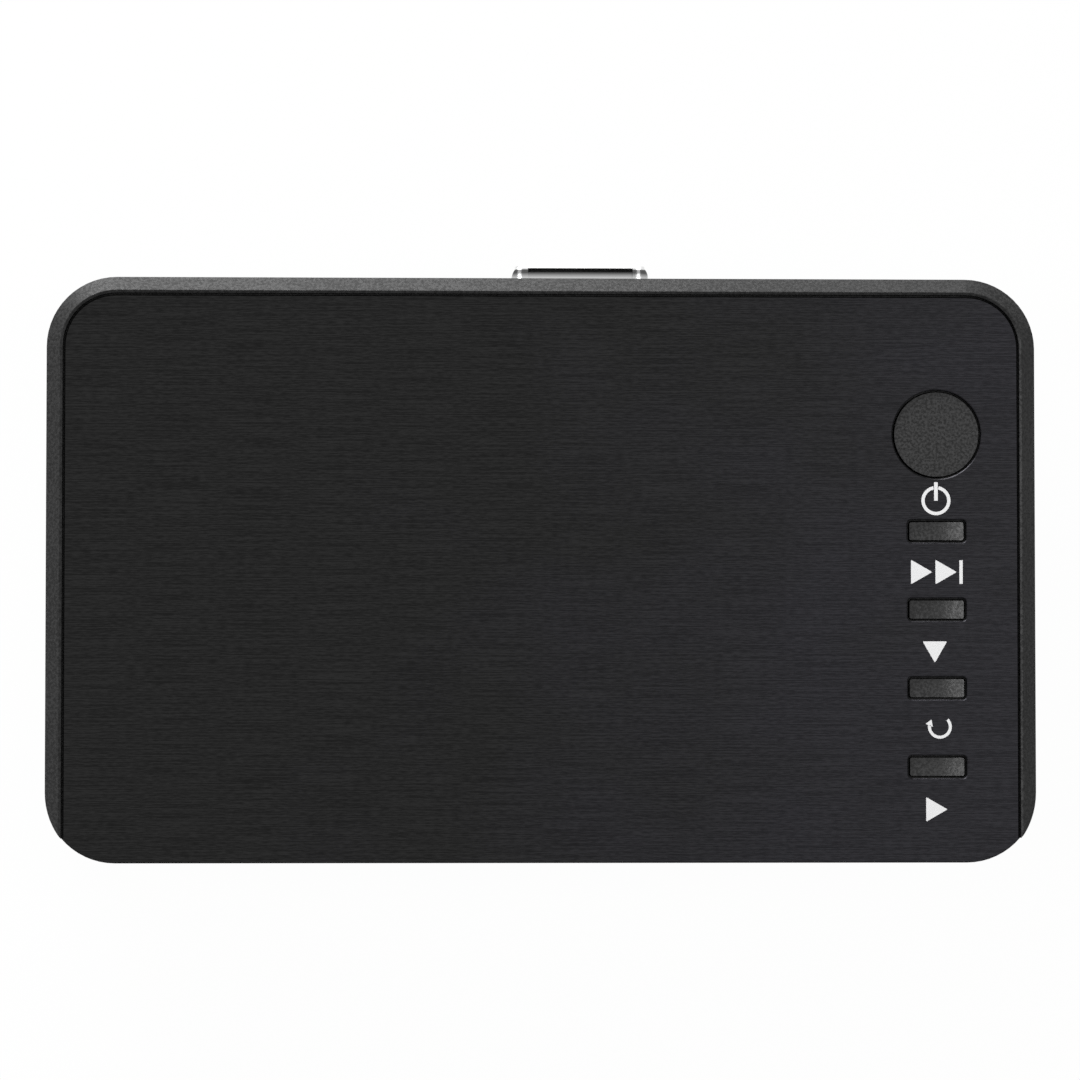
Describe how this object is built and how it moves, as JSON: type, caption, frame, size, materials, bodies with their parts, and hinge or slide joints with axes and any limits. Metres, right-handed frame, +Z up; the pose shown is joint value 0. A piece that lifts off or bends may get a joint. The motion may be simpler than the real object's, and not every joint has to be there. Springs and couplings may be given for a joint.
{
  "type": "media player",
  "caption": "Flat black media player with a brushed metal top plate, a sloping moulded rim, a round key over a column of bar keys, and a video socket at the rear.",
  "frame": {"origin": "middle of the bounding box, on the surface that the feet stand on", "axes": "+X to the right of the keyed face, +Y to the rear sockets, +Z up"},
  "size_m": [0.11, 0.067, 0.02],
  "materials": {
    "case_plastic": "fine spark-eroded grain",
    "top_plate_metal": "black anodised, brushed along X",
    "key_plastic": "fine grain",
    "bright_shell": "bright nickel plate",
    "sheet_steel": "tinned sheet",
    "screw_steel": "zinc plate",
    "insulator": "moulded",
    "contact_gold": "thin gold plate",
    "foot_rubber": "matt",
    "board_laminate": "solder resist",
    "chip_resin": "moulded resin",
    "pad_rubber": "soft pad",
    "heat_sink_metal": "anodised",
    "window_plastic": "smoked, polished",
    "lamp_plastic": "clear lens"
  },
  "bodies": {
    "player": {"upper_housing": "case_plastic", "lower_housing": "case_plastic", "top_plate": "top_plate_metal", "video_socket_shell": "bright_shell", "bus_socket_shell": "bright_shell", "card_socket_cover": "sheet_steel", "crystal_can": "sheet_steel", "capacitor_cans": "sheet_steel", "power_switch_cover": "sheet_steel", "next_switch_cover": "sheet_steel", "down_switch_cover": "sheet_steel", "return_switch_cover": "sheet_steel", "play_switch_cover": "sheet_steel", "switch_domes": "sheet_steel", "switch_terminals": "sheet_steel", "case_screws": "screw_steel", "board_screws": "screw_steel", "dc_jack_pin": "screw_steel", "video_socket_tongue": "insulator", "bus_socket_tongue": "insulator", "card_socket_base": "insulator", "av_jack_body": "insulator", "dc_jack_body": "insulator", "capacitor_bases": "insulator", "power_switch_base": "insulator", "next_switch_base": "insulator", "down_switch_base": "insulator", "return_switch_base": "insulator", "play_switch_base": "insulator", "video_socket_contacts": "contact_gold", "bus_socket_contacts": "contact_gold", "card_socket_contacts": "contact_gold", "av_jack_contacts": "contact_gold", "dc_jack_spring": "contact_gold", "front_left_foot": "foot_rubber", "front_right_foot": "foot_rubber", "rear_left_foot": "foot_rubber", "rear_right_foot": "foot_rubber", "main_board": "board_laminate", "processor": "chip_resin", "memory_chip": "chip_resin", "flash_chip": "chip_resin", "coil": "chip_resin", "small_chips": "chip_resin", "remote_receiver": "chip_resin", "thermal_pad": "pad_rubber", "heat_sink": "heat_sink_metal", "remote_window": "window_plastic", "status_lamp": "lamp_plastic"},
    "power_button": {"power_key": "key_plastic", "power_switch_stem": "insulator"},
    "next_button": {"next_key": "key_plastic", "next_switch_stem": "insulator"},
    "down_button": {"down_key": "key_plastic", "down_switch_stem": "insulator"},
    "return_button": {"return_key": "key_plastic", "return_switch_stem": "insulator"},
    "play_button": {"play_key": "key_plastic", "play_switch_stem": "insulator"}
  },
  "joints": [
    {"name": "power_press", "type": "slide", "parent": "player", "child": "power_button", "axis": [0, 0, -1], "range_m": [0, 0.00035], "stiffness_N_per_m": 4500},
    {"name": "next_press", "type": "slide", "parent": "player", "child": "next_button", "axis": [0, 0, -1], "range_m": [0, 0.00035], "stiffness_N_per_m": 4500},
    {"name": "down_press", "type": "slide", "parent": "player", "child": "down_button", "axis": [0, 0, -1], "range_m": [0, 0.00035], "stiffness_N_per_m": 4500},
    {"name": "return_press", "type": "slide", "parent": "player", "child": "return_button", "axis": [0, 0, -1], "range_m": [0, 0.00035], "stiffness_N_per_m": 4500},
    {"name": "play_press", "type": "slide", "parent": "player", "child": "play_button", "axis": [0, 0, -1], "range_m": [0, 0.00035], "stiffness_N_per_m": 4500}
  ]
}
